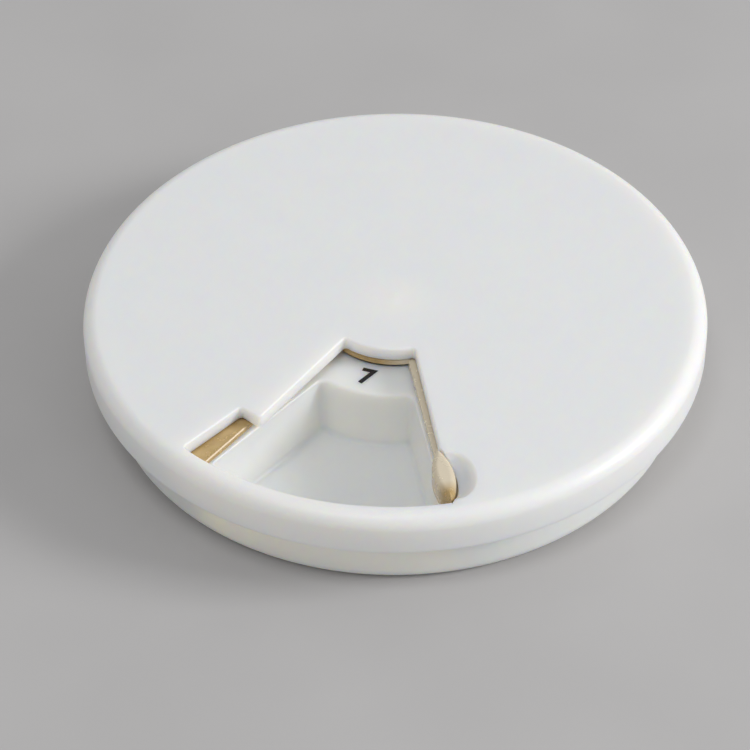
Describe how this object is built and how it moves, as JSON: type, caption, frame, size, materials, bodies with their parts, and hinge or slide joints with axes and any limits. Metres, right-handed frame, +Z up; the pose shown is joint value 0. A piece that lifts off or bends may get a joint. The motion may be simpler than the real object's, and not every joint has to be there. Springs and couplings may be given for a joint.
{
  "type": "round pill box",
  "caption": "Flat round pill box: a lid with one window turns over a tray of radial compartments, and an amber shutter disc with a thumb nub closes the window.",
  "frame": {"origin": "on the turning axis, at the plane that the tray stands on", "axes": "+Z up along the turning axis; -Y through the middle of the lid's window; +X to the right, seen from the window's side"},
  "size_m": [0.09, 0.09, 0.015],
  "materials": {
    "lid": "satin",
    "tray": "satin",
    "shutter": "translucent amber, polished"
  },
  "bodies": {
    "tray": {"tray": "tray"},
    "lid": {"lid": "lid"},
    "shutter": {"shutter": "shutter"}
  },
  "joints": [
    {"name": "lid_turn", "type": "hinge", "parent": "tray", "child": "lid", "pos_m": [0, 0, 0.0127], "axis": [0, 0, 1], "continuous": true},
    {"name": "shutter_swing", "type": "hinge", "parent": "lid", "child": "shutter", "pos_m": [0, 0, 0.012], "axis": [0, 0, 1], "range_deg": [-51.2, 0]}
  ]
}
